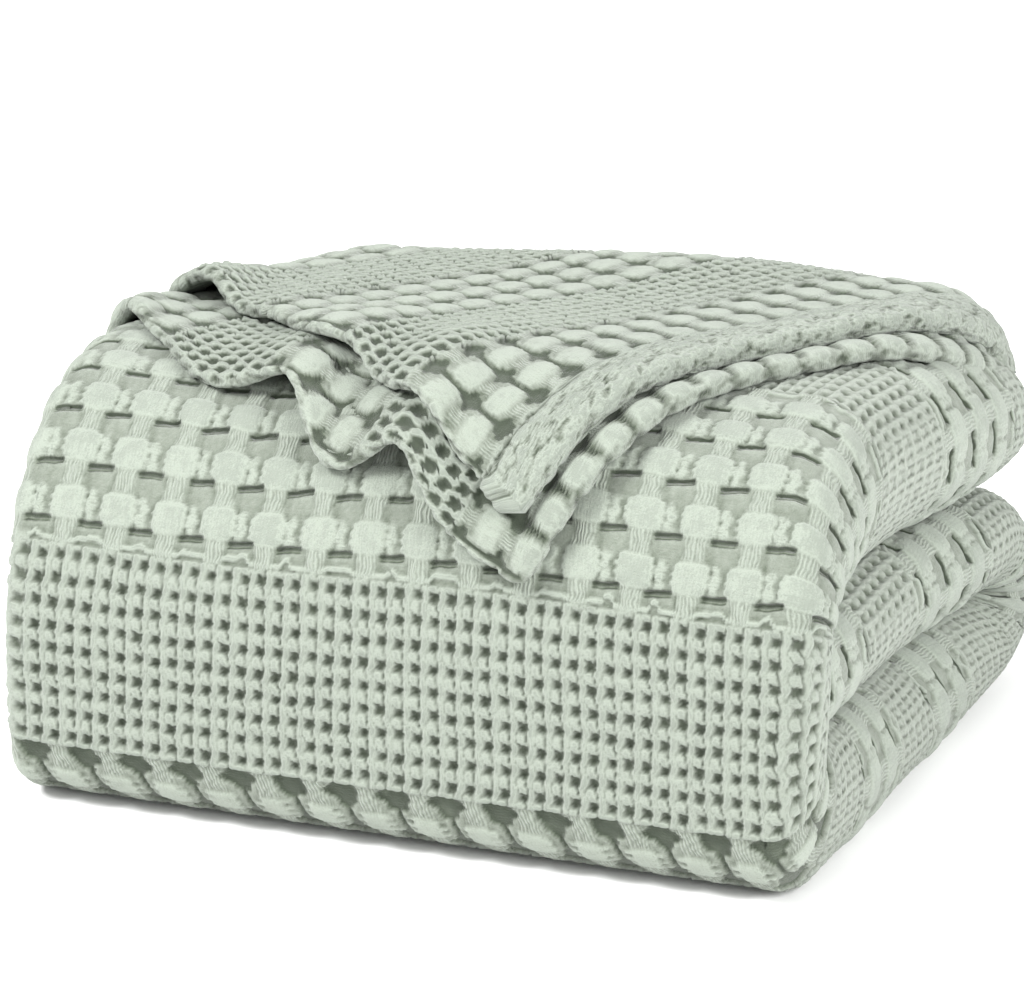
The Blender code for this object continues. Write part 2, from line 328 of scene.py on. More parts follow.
# Fine cells: yarn columns, a knob between two pits with grooves beside it, and a squarish
# pit. closed narrows the pits and flattens the cell.
def fineRelief(across, along, perBlock, closed, reverse):
    place = across * perBlock
    chance, other = cellChance(place, along, 3), cellChance(place, along, 4)
    stagger = 0.5 * reverse * (np.floor(along) % 2)
    drift = 0.07 * np.sin(2 * pi * along + 0.8)
    a = away(place + stagger + drift, 0.5) + 0.10 * (chance - 0.5)
    b = away(along, 0.5) + 0.12 * (other - 0.5) + 0.22 * a
    columnHalf, pinch, wave = fineCell["column"]
    columnHalf = columnHalf - pinch * np.cos(2 * pi * b)
    column = np.clip(1 - ((0.5 - np.abs(a)) / columnHalf) ** 2, 0, 1) ** 0.75
    column = column * (0.95 - wave * np.cos(2 * pi * b + 1.1 + 2 * chance))
    fromKnob = 0.5 - np.abs(b)
    knobWide, knobTall = fineCell["knob"]
    knob = (0.9 + 0.16 * other) * bump((a + 0.05) / knobWide, fromKnob / knobTall, 2.2, 0.5)
    groove = sum(part * bell(a, middle, half) for middle, half, part in fineCell["grooves"])
    groove = groove * (1 - ease((fromKnob - 0.2) / 0.1))
    closedPit, closedHeight, closedLevel = fineCell["closed"]
    size, growth, squareness = fineCell["pit"]
    size = size + 0.09 * (chance - 0.5) + growth * reverse
    tall = size * (0.86 + 0.3 * reverse) * (1 - closedPit * closed)
    reach = (np.abs(a / size) ** squareness + np.abs(b / tall) ** squareness) ** (1 / squareness)
    reach = reach + 0.2 * np.sin(7 * np.arctan2(b, a) + 6.28 * chance)
    pit = 1 - ease((reach - 0.55) / 0.85)
    ground, grooveDeep, pitDeep = fineCell["depths"]
    height = np.maximum(np.maximum(column, knob), ground) - grooveDeep * groove
    height = height - (pitDeep + 0.16 * other) * pit
    height = height * (1.9 - 0.3 * perBlock) * (1 - closedHeight * closed) + closedLevel * closed
    shadow = fineCell["shadow"] * reverse * (1 - ease((reach - 0.8) / 0.6))
    # the closed cells' share sets the painted shade of their dashes
    return weave["fine"] * height, 0.5 * column, 0.35 * knob, 0 * b, closed * (0.6 + 0.4 * other), shadow


# A block cell, in shares of the block, as blockRelief names them
blockCell = {
    "pillow": (0.70, 0.365, 0.32, 3.4),  # place, half width and height, squareness
    "turned": (0.085, 0.05, -1.3, 0.22),  # what the reverse adds, and its flattening
    "torn": (-0.10, -0.07, 1.6),  # what a pulled row adds, and how ragged
    "bundle": (0.21, 0.20, 0.27, 15),  # place, half width and height, strands
    "knuckle": (0.12, 0.31),
    "ground": (0.42, 0.25),  # height in mm, and half width
    "slit": (0.405, 0.19, 0.035, 0.062),  # place, half width, fall above and below
    "slitDepth": 1.5,  # mm
    "hole": (0.24, 0.27, 0.09, 1.6),  # place, reach, more in a pulled row, and depth
    "star": (0.22, 0.42, 1.25),  # the shadow's place, reach and strength
    "loop": (1.15, 1.5),  # half thickness and height, in mm
}


# Block cells: a flat-topped pillow over a bundle of floats, with a knuckle beside it, over a
# patch of ground with a slit along its upper edge. On the reverse the pillow is larger and
# the patch is a small deep hole. Between 0.5 and 0.9 reverse is a row pulled open, with
# smaller ragged pillows and no knuckle. Loops of yarn arch over the ends of a band.
def blockRelief(across, along, fromEnd, reverse, closed):
    chance = cellChance(across, along, 1)
    turned = 1.0 * (reverse > 0.9)
    torn = (reverse > 0.5) * (1 - turned)
    a = away(across, 0.5) + 0.035 * (chance - 0.5)
    c = away(across, 0.0)
    pillowPlace, wide, tall, squareness = blockCell["pillow"]
    moreWide, moreTall, rounding, flattening = blockCell["turned"]
    tornWide, tornTall, tornRagged = blockCell["torn"]
    rise = away(along, pillowPlace) + 0.03 * (cellChance(across, along, 2) - 0.5)
    ragged = 0.05 * np.sin(along * 41 + 6 * chance) + 0.04 * np.sin(across * 37 + 9 * chance)
    wide = wide + moreWide * reverse + 0.09 * closed + tornWide * torn
    wide = wide + 0.4 * ragged * (1 + tornRagged * torn)
    tall = tall + moreTall * turned + tornTall * torn
    leant = rise + 0.12 * a * (chance - 0.5)
    pillow = bump(a / wide, leant / tall, squareness + rounding * turned, 0.4) * (0.86 + 0.2 * chance)

    bundlePlace, splay, bundleTall, strands = blockCell["bundle"]
    low = away(along, bundlePlace)
    leaning = a + 0.16 * (chance - 0.5) * low
    bundle = np.clip(1 - np.abs(leaning / (splay + 0.2 * np.abs(low))) ** 2.6, 0, 1) ** 0.5
    strand = np.cos(2 * pi * (leaning * strands / (0.75 + np.abs(low)) + chance))
    bundle = bundle * (0.9 + 0.13 * strand) * (1 - ease((np.abs(low) - bundleTall) / 0.09))

    knuckleWide, knuckleTall = blockCell["knuckle"]
    beside = c + 0.05 + 0.03 * np.sin(along * 19 + 7 * chance)
    frayed = np.sin(along * 31 + 5 * chance + 2 * np.sin(across * 53)) * np.sin(across * 61 + along * 17)
    knuckle = bump(beside / knuckleWide, rise / knuckleTall, 2.4, 0.5) * (0.86 + 0.22 * frayed)
    knuckle = knuckle * (1 - 0.9 * reverse) * (1 - torn)

    slitPlace, slitHalf, above, below = blockCell["slit"]
    fromSlit = away(along, slitPlace + (0.02 + 0.18 * chance) * c)
    slitHalf = slitHalf + 0.04 * chance + 0.07 * closed
    window = 1 - ease((np.abs(c + 0.01) - slitHalf) / 0.06)
    slit = bell(fromSlit, 0, np.where(fromSlit > 0, above, below)) * window
    slit = slit * (0.85 + 0.3 * chance + 0.5 * closed)
    # share of the painted shadow lines along the slit
    slitShadowShare = (0.75 + 0.5 * chance) * window * (reverse < 0.5) * (np.abs(fromSlit) < 0.25)
    groundUp, groundHalf = blockCell["ground"]
    ground = groundUp * (1 - ease((np.abs(c) - groundHalf) / 0.08))
    ground = ground - 0.25 * bell(c, -0.2, 0.06)

    holePlace, opened, tornHole, holeDeep = blockCell["hole"]
    fromHole = away(along, holePlace)
    opened = opened + tornHole * torn + 0.05 * np.sin(5 * np.arctan2(fromHole, c) + 6 * chance)
    hole = bump(c / opened, fromHole / opened, 1.1, 0.35)
    hole = np.maximum(hole, 0.8 * bell(c, 0, 0.042) * (np.abs(rise) < 0.5))
    ground = np.where(reverse > 0.5, 0.5 - 0.9 * hole, ground)
    slit = np.where(reverse > 0.5, holeDeep * hole, slit)
    starPlace, starReach, starShade = blockCell["star"]
    star = bump(c / starReach, away(along, starPlace) / starReach, 0.85, 0.8)

    parts = [weave["pillow"] * pillow, weave["bundle"] * bundle, weave["knuckle"] * knuckle, ground]
    height = np.maximum.reduce(parts) - blockCell["slitDepth"] * slit
    loopHalf, loopHeight = blockCell["loop"]
    arch = np.clip(np.cos(2 * pi * (c + 0.12 * np.sin(across * 9))), 0, 1)
    arch = 1.2 + 2.6 * arch * (0.4 + 1.1 * chance)
    loop = np.clip(1 - ((fromEnd - arch) / loopHalf) ** 2, 0, 1) ** 0.5 * (reverse < 0.5)
    height = np.where(loop > 0, np.maximum(height, loopHeight * loop), height)
    height = height * (1 - flattening * turned)
    lengthwise = np.clip(2.4 * bundle * (pillow < 0.25) + 0.3 * (pillow > 0.25), 0, 2.4)
    bare = (bundle < 0.1) & (pillow < 0.1)
    crosswise = np.where(bare, np.where(knuckle > 0.1, 0.4, 0.12), 0.08)
    return height, lengthwise, crosswise, -fromSlit * weave["block"], slitShadowShare, starShade * star * turned


# Relief of the weave. across counts blocks, along counts rows, kind is 1 in block bands.
# Returns the height in mm, and by name the shares of the threads, the slits' place in mm and the share of
# their painted shadow lines, and the painted shadow. The fuzz is two layers of sines, each bent by another
# sine.
def weaveRelief(across, along, kind, fromEnd, perBlock, reverse=0.0, closed=0.0):
    fine = fineRelief(across, along, perBlock, closed, reverse)
    block = blockRelief(across, along, fromEnd, reverse, closed)
    height, *threads = (np.where(kind > 0.5, b, f) for b, f in zip(block, fine))
    u, v = across * 20, along * 9
    fuzz = np.sin(5.1 * u + 1.7 * np.sin(4.3 * v)) * np.sin(4.7 * v + 1.9 * np.sin(3.9 * u))
    fuzz = fuzz + np.sin(2.3 * u + 2.1 * np.sin(1.9 * v)) * np.sin(2.9 * v + 1.3 * np.sin(2.1 * u))
    names = ("lengthwise", "crosswise", "slitPlace", "slitShadowShare", "shadow")
    return height + weave["fuzz"] * fuzz, dict(zip(names, threads))


# The columns stray by two slow sines
def strayed(across, along):
    swing = 0.6 * np.sin(along * 0.043 + across * 0.021) + 0.4 * np.sin(along * 0.11 - across * 0.037)
    return across + weave["wander"] * swing


# Quads of a grid of points, row by row
def gridQuads(tall, wide):
    first = (np.arange(tall - 1)[:, None] * wide + np.arange(wide - 1)[None, :]).ravel()
    return np.column_stack([first, first + 1, first + wide + 1, first + wide])


# An object of the cloth from points in mm and quads, with its UV by point, in blocks and
# rows, and a number at each point by name. Under a line the depth is multiplied by the
# share that is kept, which presses the underside on the floor.
def clothObject(name, points, quads, uv, facts):
    line, share = settling["rest"]
    points = points + np.maximum(line - points[:, 2:], 0) * (1 - share) * (0, 0, 1)
    mesh = bpy.data.meshes.new(name)
    mesh.vertices.add(len(points))
    mesh.vertices.foreach_set("co", (points * metre).astype(np.float32).ravel())
    mesh.loops.add(quads.size)
    mesh.loops.foreach_set("vertex_index", quads.astype(np.int32).ravel())
    mesh.polygons.add(len(quads))
    mesh.polygons.foreach_set("loop_start", np.arange(0, quads.size, 4, dtype=np.int32))
    mesh.polygons.foreach_set("use_smooth", np.ones(len(quads), bool))
    mesh.update(calc_edges=True)
    mesh.uv_layers.new(name="weave").data.foreach_set("uv", uv[quads.ravel()].astype(np.float32).ravel())
    for label, values in facts.items():
        values = np.broadcast_to(np.ravel(values), len(points)).astype(np.float32)
        mesh.attributes.new(label, "FLOAT", "POINT").data.foreach_set("value", values)
    mesh.materials.append(cotton)
    made = bpy.data.objects.new(name, mesh)
    pieces.objects.link(made)
    return made


# The same from a grid of points; flipped turns its faces over
def gridObject(name, grid, across, along, facts, flipped=False):
    quads = gridQuads(*grid.shape[:2])
    quads = quads[:, ::-1] if flipped else quads
    uv = np.column_stack([across.ravel(), along.ravel()])
    return clothObject(name, grid.reshape(-1, 3), quads, uv, facts)


# How far each point of a grid lies under its neighbours at a reach, in mm, which is painted as shade
def hollowness(height, spacing):
    reach = max(1, round(weave["hollowReach"] / spacing))
    padded = np.pad(height, reach, mode="edge")
    tall, wide = height.shape
    moves = (0, reach, 2 * reach)
    around = [padded[down : down + tall, over : over + wide] for down in moves for over in moves]
    return sum(around) / len(around) - height


# The numbers that the material reads: the relief from 0 to 1 less a painted shade of hollows, which the
# material turns into painted shade in low places and painted light on high ones, kind, inner for the plain
# inside, knobby for the hem, and the threads by name
def weaveFacts(height, kind, threads, hollow=0.0, inner=0.0, knobby=0.0, fineLowest=-0.33):
    reliefShading = height / weave["pillow"] - weave["hollowShade"] * hollow
    reliefShading = np.clip(reliefShading, np.where(kind > 0.5, -0.5, fineLowest), 1.2)
    return {"inner": inner, "knobby": knobby, "reliefShading": reliefShading, "blocks": kind, **threads}


# Length of cloth from the middle line to each place across, row by row: steps along a
# close run of columns are summed from its middle, then read at the distances
def acrossAt(rows, distances):
    step = 2.0
    close = np.arange(-170, 222, step)
    line = settle(stackPoints(rows, skinColumns(close)))
    lengths = lengthsAlong(line.swapaxes(0, 1)).T
    lengths -= lengths[:, close == 0]
    place = (distances - close[0]) / step
    index = np.floor(place).astype(int)
    part = place - index
    return lengths[:, index] * (1 - part) + lengths[:, index + 1] * part


# Even steps of about the spacing
def evenly(start, end, spacing):
    return np.linspace(start, end, round((end - start) / spacing) + 1)


# Outward normals of the outer side at rows and distances: the cross product of two small
# steps, one to both sides in mm and one along the rows
def skinNormals(rows, distances):
    step, rowStep = 0.8, 0.02

    def at(move, rowMove):
        moved = np.clip(rows + rowMove, 0, lastRow)
        return settle(stackPoints(moved, skinColumns(distances + move)))

    normal = np.cross(at(step, 0) - at(-step, 0), at(0, rowStep) - at(0, -rowStep))
    return unit(normal)


# A relief skin over the stack's outer side, between two distances across and two rows. Each
# point lies on the outer side plus the ground's lift and the relief.
def bodySkin(name, fromAcross, toAcross, fromRow, toRow, spacing):
    lengths = evenly(lengthAt(fromRow), lengthAt(toRow), spacing)
    distances = evenly(fromAcross, toAcross, spacing)
    rows = rowAt(lengths)
    grid = settle(stackPoints(rows, skinColumns(distances)))
    normal = skinNormals(rows, distances)
    across = acrossAt(rows, distances)
    along = np.broadcast_to(lengths[:, None], across.shape)
    count, kind, fromEnd, perBlock = bandPlace(along, bodyChart)
    blocks = strayed(across, along) / weave["block"]
    closedFrom, closedOver = weave["closed"]
    closed = ease((across - closedFrom) / closedOver)
    pulledFrom, pulledTo = weave["pulledRow"]
    pulledShade, lean, flattening = weave["pulled"]
    pulled = (along > pulledFrom) & (along < pulledTo)
    blocks = blocks + pulled * lean * (along - pulledTo)
    height, threads = weaveRelief(blocks, count, kind, fromEnd, perBlock, pulled * 0.75, closed)
    height = height * (1 - flattening * pulled)
    grid = grid + normal * (weave["lift"] + np.maximum(height, weave["floor"]))[..., None]
    facts = weaveFacts(height - pulledShade * pulled, kind, threads, hollowness(height, spacing))
    return gridObject(name, grid, blocks, count, facts)


bodyChart = bandChart(bandsUp, bandsDown)
flapCharts = {
    1: bandChart("fine 2 " + bandsFlap, "fine 9"),
    -1: bandChart(bandsFlap, "block 4"),
}


# The flap's middle line: points, lengths up to them, outward directions, and the length at
# which the front passes the height of the flap's corner
def measureFlap():
    places = np.linspace(0, len(flapPath) - 1, 1281)
    points = curveThrough(flapPath, places)
    lengths = lengthsAlong(points)
    runs = unit(np.gradient(points, axis=0))
    front = places > len(flapPath) - 7
    return {
        "points": points,
        "lengths": lengths,
        "outward": np.stack([runs[:, 1], -runs[:, 0]], axis=1),
        "cornerRun": np.interp(-flap["cornerHeight"], -points[front, 1], lengths[front]),
    }


flapLine = measureFlap()


# Sum of the ripples' lift or pull, each a bell along the loose edge
def rippleSum(side, along, column):
    return sum(row[column] * bell(along, *row[:2]) for row in ripples[side])


# A flap layer's corner: how far across, and how far along the run
def flapCorner(side):
    lower = side < 0
    return (
        flap["cornerX"] + lower * flap["lowerCornerShift"],
        flapLine["cornerRun"] + lower * flap["lowerReach"] * 1.35,
    )


# How far the layer runs forward at x: its hem right of the corner, its loose edge left of it
def flapEnd(x, side):
    cornerX, cornerRun = flapCorner(side)
    slope = flap["slope"][side]
    hem = cornerRun - (x - cornerX) * tan(radians(flap["hemRise"]))
    left = cornerX - x
    along = left / cos(atan(slope))
    loose = cornerRun - left * (slope + flap["curve"] * left) - rippleSum(side, along, 3)
    return np.where(x > cornerX, hem, loose), along


# Points of a flap layer's middle: full x is the place across when laid flat, and share goes
# from 0 at the top pass to 1 at the layer's edge. A point is the middle line's at its run,
# moved outwards by the layer's side and ripples, and inwards where an end is bent: there x
# goes by the sine of the bend and the offset by its cosine.
def flapPoints(across, share, side):
    start = stackPoints([lastRow], np.stack([across, across * 0 + (side < 0), across * 0], axis=-1))[0]
    cornerX, _ = flapCorner(side)
    fullX = np.interp(
        across, (-1, flap["cornerPlace"], 1), (flap["leftEdge"][side], cornerX, flap["rightEdge"])
    )
    ends, along = flapEnd(fullX, side)
    run = ends[None, :] * share[:, None]
    middle, outward = (
        np.stack([np.interp(run, flapLine["lengths"], flapLine[name][:, k]) for k in (0, 1)], axis=-1)
        for name in ("points", "outward")
    )
    inland = ends - run
    lift = rippleSum(side, along, 2) * bell(inland, 0, flap["rippleDepth"])
    if side > 0:
        lift += rippleSum(-1, along, 2) * bell(inland, -flap["lowerReach"], flap["rippleDepth"])
    offset = side * flap["pitch"] / 2 + lift
    fullX = np.broadcast_to(fullX, run.shape)
    draw, drawWide, drawUntil, drawOver = flap["backDraw"]
    drawn = draw * np.clip(-fullX / drawWide, 0, 1) * (1 - ease((run - drawUntil) / drawOver))
    rightStart, rightRadius = flap["bend"]["right"]
    leftStart, leftRadius = flap["bend"][side]
    rightAngle = np.maximum(fullX - rightStart, 0) / rightRadius
    leftAngle = np.maximum(leftStart - fullX, 0) / leftRadius
    bentX = np.where(rightAngle > 0, rightStart + rightRadius * np.sin(rightAngle), fullX)
    bentX = np.where(leftAngle > 0, leftStart - leftRadius * np.sin(leftAngle), bentX) + drawn
    bent = rightRadius * (1 - np.cos(rightAngle)) + leftRadius * (1 - np.cos(leftAngle))
    close, closeWide, closeUntil, closeOver = flap["rightClose"]
    closing = close * ease((fullX - rightStart) / closeWide)
    closing = closing * (1 - ease((run - closeUntil) / closeOver))
    offset = offset - bent - closing
    joinRun, widenRun = flap["joinRuns"]
    blend = ease(run / joinRun)[..., None]
    here = middle + outward * offset[..., None]
    here = start[None, :, 1:] * (1 - blend) + here * blend
    x = start[:, 0] + (bentX - start[:, 0]) * ease((run - 4) / widenRun)
    return join([x[..., None], here], axis=-1), fullX, run


# Distance along the hem from the corner, and inwards from it: the flat place turned about
# the corner by the hem's angle
def hemPlace(fullX, run, side):
    cornerX, cornerRun = flapCorner(side)
    angle = radians(flap["hemRise"])
    dx, dr = fullX - cornerX, run - cornerRun
    return dx * cos(angle) - dr * sin(angle), -dx * sin(angle) - dr * cos(angle)


# A flap layer's rim: half a circle past its edge, a strip back under, and turned sides
rim = {
    "radius": (3, 4.4),  # of the rim, and of the hem's
    "hemWide": {1: 12, -1: 5},
    "turns": (pi, 11, 2.2, 7),  # of the edge and of the sides, in radians and steps
    "columnSpans": (205, 105),  # mm, left and right of the corner
    "patternShift": {1: 0, -1: 12},
    "under": (24, 9),  # the strip's length and steps
    "hemAtRim": (0.6, 0.9),  # how like the hem the rim is, and from which turn
    "roll": (2, 5, 8.5),  # the hem's extra height, its middle and half width
    "rollRuns": (55, 60),  # the run where that starts, and over what
    "groove": (1.3, 1.6),  # depth and half width, beside the hem
    "shade": (0.2, 1.7, -0.5),  # taken from the relief, hollows' share, lowest level
}


# Relief of the rolled hem: staggered knots of uneven height on wavy rows
def hemRelief(along, inward):
    rowWide, knotLong = 6.4, 8.6
    row = inward / rowWide + 0.22 * np.sin(along * 0.31) + 0.12 * np.sin(along * 0.83)
    place = along / knotLong + 0.5 * (np.floor(row) % 2)
    knot = bump(away(place, 0.5) / 0.5, away(row, 0.5) / 0.5, 2.0, 0.6)
    knot = knot * (0.65 + 0.7 * cellChance(place, row, 6))
    return 0.7 + 1.1 * knot + 0.35 * np.sin(along * 0.23) * np.sin(inward * 0.4 + 1)


# A relief skin over a flap layer from a share of its run, with its rim: the offset is the
# normal times both turns' cosines, plus the outward directions times their sines
def flapSkin(name, side, fromShare, spacing):
    corner = flap["cornerPlace"]
    leftCount, rightCount = (round(span / spacing) for span in rim["columnSpans"])
    inner = join([np.linspace(-1, corner, leftCount), np.linspace(corner, 1, rightCount)[1:]])
    reach = np.linspace(fromShare, 1, round(flapLine["cornerRun"] * (1 - fromShare) / spacing))
    turn, steps, sideTurn, sideSteps = rim["turns"]
    turns, sides = np.linspace(0, turn, steps)[1:], np.linspace(0, sideTurn, sideSteps)[1:]
    stripLong, stripSteps = rim["under"]
    under = 1 - np.linspace(0, 1, stripSteps)[1:] * stripLong / flapLine["cornerRun"]
    share = join([reach, np.ones(len(turns)), under])
    rowTurn = join([reach * 0, turns, under * 0 + turn])[:, None]
    across = join([sides * 0 - 1, inner, sides * 0 + 1])
    sideTurn = join([-sides[::-1], inner * 0, sides])[None, :]

    def settledAt(places, shares):
        return settle(flapPoints(places, shares, side)[0])

    step = 0.004
    middle, fullX, run = flapPoints(across, share, side)
    middle = settle(middle)
    within, level = np.clip(across, -1 + step, 1 - step), np.clip(share, fromShare, 1 - step)
    right = settledAt(within + step, level) - settledAt(within - step, level)
    ahead = settledAt(within, level + step) - settledAt(within, level - step)
    normal = np.cross(ahead, right)
    edge = np.gradient(settledAt(inner, np.ones(1))[0], axis=0)
    edge = np.pad(edge, ((len(sides), len(sides)), (0, 0)), mode="edge")
    outwards = np.cross(edge[None], normal)
    sidewards = np.cross(ahead, normal)
    normal, outwards, sidewards = (unit(lines) for lines in (normal, outwards, sidewards))

    along, inward = hemPlace(fullX, run, side)
    hemWide = rim["hemWide"][side]
    hem = 1 - ease((inward - hemWide) / 3)
    plainRadius, hemRadius = rim["radius"]
    radius = plainRadius + (hemRadius - plainRadius) * hem
    turned = np.maximum(rowTurn, np.abs(sideTurn))
    roll, rollMiddle, rollHalf = rim["roll"]
    rollFrom, rollOver = rim["rollRuns"]
    roll = np.sqrt(np.clip(1 - ((inward - rollMiddle) / rollHalf) ** 2, 0, 1)) * roll * (side > 0)
    roll = roll * ease((run - rollFrom) / rollOver)
    atRim, rimTurn = rim["hemAtRim"]
    hemmed = np.maximum(hem * (side > 0), atRim * ease(turned / rimTurn))
    inward = inward - radius * rowTurn * hem + rim["patternShift"][side]
    pastCorner = np.sign(fullX - flapCorner(side)[0])
    along = along + radius * (sideTurn + rowTurn * (1 - hem) * pastCorner)
    blocks = strayed(along, inward) / weave["block"] / flap["weaveScale"]
    count, kind, fromEnd, perBlock = bandPlace(inward / flap["weaveScale"], flapCharts[side])
    height, threads = weaveRelief(blocks, count, kind, fromEnd, perBlock, 1.0)
    height = height * (1 - hemmed) + hemRelief(along, inward) * hemmed
    grooveDeep, grooveHalf = rim["groove"]
    height = height - grooveDeep * bell(inward, hemWide + 1, grooveHalf) * (side > 0)
    threads["lengthwise"] = threads["lengthwise"] * (1 - hemmed) + 0.5 * hemmed
    threads["shadow"] = threads["shadow"] * (1 - np.minimum(1.7 * hemmed, 1))
    out = weave["lift"] + np.maximum(height, weave["floor"]) + (radius - plainRadius) + roll
    below = ease((turned / turn - 0.5) * 2)
    out = out * (1 - below) + plainRadius * below
    level = np.cos(sideTurn) * out
    for line, part in ((normal, np.cos(rowTurn) * level), (outwards, np.sin(rowTurn) * level)):
        middle = middle + line * part[..., None]
    grid = middle + sidewards * (np.sin(sideTurn) * out)[..., None]
    darker, hollowShare, lowest = rim["shade"]
    hollow = hollowness(height, spacing) * hollowShare
    facts = weaveFacts(height - darker, kind, threads, hollow, 0.0, hemmed, lowest)
    return gridObject(name, grid, blocks, count, facts, True)


# The sheet's thickness in mm, its share under the skins, and counts of its cells
sheet = {
    "thickness": (1.2, 2.4),  # least and most
    "shares": (0.42, 0.4),  # of the gap between two levels, and of the most where it is covered
    "cells": 22,
    "foldSteps": 10,
    "rowSteps": 3,
    "tongueSteps": 44,
}


# Column by column across the whole sheet, folds as half ellipses between their levels:
# place, level, bulge, and the layer's number, 0 in a fold
def sheetColumns():
    columns = []
    levels = [stack["order"].index(layer + 1) for layer in range(stack["layers"])]
    for layer, level in enumerate(levels, 1):
        heading = 1 if layer % 2 else -1
        places = heading * np.linspace(-1, 1, sheet["cells"] + 1)
        columns += [(place, level, 0, layer) for place in places]
        for following in levels[layer : layer + 1]:
            middle, half = (level + following) / 2, (following - level) / 2
            steps = sheet["foldSteps"] // (1 if abs(half) > 1 else 2)
            for step in range(1, steps):
                angle = -pi / 2 * (1 - 2 * step / steps)
                bulge = heading * abs(half) * cos(angle)
                columns.append((heading, middle + half * sin(angle), bulge, 0))
    return np.array(columns)


# The folded sheet as one surface: the stack's columns along its rows, and the flap's two
# tongues, which go on from the last row of their layers. It is as thick as the gap between
# two levels allows, and thinner where a skin covers it.
def buildSheet():
    columns = sheetColumns()
    rows = np.linspace(0, lastRow, lastRow * sheet["rowSteps"] + 1)
    body = stackPoints(rows, columns[:, :3])
    tall, wide = body.shape[:2]
    points = [body.reshape(-1, 3)]
    quads = [gridQuads(tall, wide)]
    path = curveThrough(stackPath, rows)
    levels = stack["layers"] - 1
    gap = np.hypot(path[:, 2] - path[:, 0], path[:, 3] - path[:, 1]) / levels
    least, most = sheet["thickness"]
    gapShare, coveredShare = sheet["shares"]
    room = np.minimum(gap * gapShare, path[:, 5] / levels)
    share = np.clip(room, least, most)[:, None] / most
    covered = (columns[:, 1] > 6.5) | (np.abs(columns[:, 2]) > 1.6) | (columns[:, 1] % 1 != 0)
    shares = [np.where(covered, coveredShare, share).ravel()]
    acrossLength = lengthsAlong(body[tall // 2]) / weave["block"]
    uvs = [np.stack(np.meshgrid(acrossLength, lengthAt(rows)), axis=-1).reshape(-1, 2)]
    for layer, side in ((1, 1), (8, -1)):
        used = np.flatnonzero(columns[:, 3] == layer)
        steps = np.linspace(0, 1, sheet["tongueSteps"] + 1)[1:]
        grid, fullX, run = flapPoints(columns[used, 0], steps, side)
        here = sum(len(part) for part in points) + np.arange(run.size).reshape(run.shape)
        lines = join([(tall - 1) * wide + used[None], here])
        corners = [lines[:-1, :-1], lines[:-1, 1:], lines[1:, 1:], lines[1:, :-1]]
        quads.append(np.stack(corners, axis=-1).reshape(-1, 4))
        points.append(grid.reshape(-1, 3))
        shares.append(np.full(run.size, coveredShare))
        uvs.append(np.stack([fullX / weave["block"], run + lengthAt(lastRow)], axis=-1).reshape(-1, 2))
    points, quads, shares, uvs = (join(parts) for parts in (points, quads, shares, uvs))
    count, kind, fromEnd, perBlock = bandPlace(uvs[:, 1], bodyChart)
    height, threads = weaveRelief(uvs[:, 0], count, kind, fromEnd, perBlock)
    facts = weaveFacts(height * 0 + 1.3, kind, threads, inner=1.0)
    uv = np.column_stack([uvs[:, 0], count])
    made = clothObject("folded_sheet", settle(points), quads, uv, facts)
    group = made.vertex_groups.new(name="thickness")
    for value in np.unique(shares):
        group.add(np.flatnonzero(shares == value).tolist(), float(value), "REPLACE")
    solid = made.modifiers.new("cloth", "SOLIDIFY")
    solid.thickness = most * metre
    solid.offset = 0
    solid.vertex_group = "thickness"
    return made


# Places on the ramp from the lowest relief to the highest, and their colours: the one cotton colour, painted
# darker in the low places as shade and lighter on the raised yarn as light
cloth = {
    "tones": (
        (0.0, (0.058, 0.072, 0.050, 1)),  # painted shadow in the star holes and slits
        (0.1, (0.100, 0.119, 0.087, 1)),  # painted shade in the pits
        (0.2, (0.130, 0.151, 0.116, 1)),
        (0.42, (0.204, 0.229, 0.189, 1)),  # ground, darker as painted shade
        # the brightest, a painted highlight on the raised yarn
        (0.76, (0.322, 0.359, 0.305, 1)),
        (0.93, (0.256, 0.286, 0.243, 1)),  # tops of the pillows
    ),
    "shader": {"Roughness": 0.92, "Specular IOR Level": 0.15, "Sheen Weight": 0.25, "Sheen Roughness": 0.5},
    "bump": {"Strength": 0.6, "Distance": 0.0005},  # the threads' depth in metres
}

# Counts to a block or a row, lengths in mm, and each mark's strength in the threads' height
# and in the level
yarn = {
    "threads": (15, 7, 9),  # lengthwise, crosswise, and more in blocks
    "drift": (3.5, 1, 0.5),  # the noises' scale, detail and roughness
    "fuzz": (34, 4, 0.65),
    "knobs": (5.5, 1.5, 0.5),
    "wander": (14, 1.6),  # of the threads and of the painted slit shadow lines
    "slitShadows": ((0, 0.85, 1), (1.7, 0.5, 0.6)),  # the painted shadow lines along the slits: place, half width and share
    "dashes": (6, 0.46, 0.3, 0.8),  # the painted shade of the closed pits: to a block, half length and width, and share
    "heights": {"fuzz": 3.2, "threads": 0.6, "knob": 14, "slitShadows": -5, "waffle": -3},
    # In the level the threads' sines paint light on their crowns and shade between them, the waffle paints
    # shade in the pits of the plain inside, and the slits' lines, the dashes and the shadow are painted
    # shade
    "levels": {"threads": 0.07, "waffle": -0.3, "knob": 1.7, "knobby": 0.12, "slitShadows": -0.75, "shadow": -0.8},
    "reliefShading": (0.6, 0.3),  # the relief's painted shading: its share of the level, and the ground's level
    "fuzzShade": (0.25, 0.35),  # the same for how strongly the fuzz shows
    "driftShade": 0.3,
}


# Sets a node's inputs by name
def setInputs(node, values):
    for label, value in values.items():
        node.inputs[label].default_value = value


# A maths node fed by sockets or numbers
def maths(tree, operation, *values):
    node = tree.nodes.new("ShaderNodeMath")
    node.operation = operation
    for index, value in enumerate(values):
        if isinstance(value, (int, float)):
            node.inputs[index].default_value = value
        else:
            tree.links.new(value, node.inputs[index])
    return node.outputs[0]
